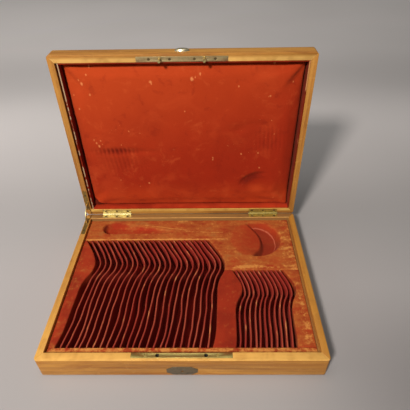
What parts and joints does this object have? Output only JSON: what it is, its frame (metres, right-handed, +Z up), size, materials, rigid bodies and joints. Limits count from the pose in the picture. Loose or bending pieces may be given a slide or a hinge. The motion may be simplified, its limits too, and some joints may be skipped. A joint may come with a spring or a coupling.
{
  "type": "cutlery chest",
  "caption": "Flat oak cutlery chest, open: velvet insert with S-curved slots and a ladle recess, padded hinged lid, stud lock, butt hinges and a curved stay.",
  "frame": {"origin": "middle of the base's underside, on the surface that the chest stands on", "axes": "+X to the right seen from the front, +Y from the front to the hinges, +Z up"},
  "size_m": [0.41, 0.3397, 0.3574],
  "materials": {
    "oak": "waxed, worn",
    "tray_velvet": "worn velvet",
    "divider_velvet": "worn velvet",
    "lid_velvet": "velvet",
    "lining_velvet": "velvet",
    "brass": "tarnished",
    "bright_brass": "worn bright",
    "dark_screw": "darkened",
    "lock_steel": "dull"
  },
  "bodies": {
    "base": {"base_bottom_panel": "oak", "base_front_board": "oak", "base_hinge_screws": "dark_screw", "base_left_board": "oak", "base_rear_board": "oak", "base_right_board": "oak", "centre_filler": "tray_velvet", "escutcheon": "brass", "front_strip": "tray_velvet", "ladle_bed": "tray_velvet", "large_slot_dividers": "divider_velvet", "left_base_leaf": "brass", "left_filler": "tray_velvet", "left_hinge_pin": "brass", "lock_back_plate": "lock_steel", "lock_case": "lock_steel", "lock_plate": "brass", "lock_screws": "dark_screw", "lock_spring": "lock_steel", "packing_strip": "oak", "right_base_leaf": "brass", "right_filler": "tray_velvet", "right_hinge_pin": "brass", "small_slot_divider_01": "divider_velvet", "small_slot_divider_02": "divider_velvet", "small_slot_divider_03": "divider_velvet", "small_slot_divider_04": "divider_velvet", "small_slot_divider_05": "divider_velvet", "small_slot_divider_06": "divider_velvet", "small_slot_divider_07": "divider_velvet", "small_slot_divider_08": "divider_velvet", "small_slot_divider_09": "divider_velvet", "small_slot_divider_10": "divider_velvet", "small_slot_divider_11": "divider_velvet", "stay_base_plate": "brass", "stay_base_screws": "dark_screw", "tray_floor": "tray_velvet"},
    "lid": {"left_lid_leaf": "brass", "lid_cushion": "lid_velvet", "lid_front_board": "oak", "lid_front_lining": "lining_velvet", "lid_hinge_screws": "dark_screw", "lid_left_board": "oak", "lid_left_lining": "lining_velvet", "lid_rear_board": "oak", "lid_rear_lining": "lining_velvet", "lid_right_board": "oak", "lid_right_lining": "lining_velvet", "lid_top_panel": "oak", "right_lid_leaf": "brass", "stay_lid_plate": "brass", "stay_lid_screws": "dark_screw", "strike_plate": "brass", "strike_screws": "dark_screw", "strike_studs": "bright_brass", "thumb_lift": "bright_brass"},
    "stay": {"stay_arc": "brass"},
    "bolt": {"lock_bolt": "lock_steel"}
  },
  "joints": [
    {"name": "lid_hinge", "type": "hinge", "parent": "base", "child": "lid", "pos_m": [0, 0.1564, 0.041], "axis": [1, 0, 0], "range_deg": [0, 90]},
    {"name": "stay_turn", "type": "hinge", "parent": "base", "child": "stay", "pos_m": [0, 0.1564, 0.041], "axis": [1, 0, 0], "range_deg": [0, 45]},
    {"name": "bolt_slide", "type": "slide", "parent": "base", "child": "bolt", "axis": [1, 0, 0], "range_m": [0, 0.0052]}
  ],
  "couplings": [
    {"joint": "stay_turn", "follows": "lid_hinge", "ratio": 0.5}
  ]
}
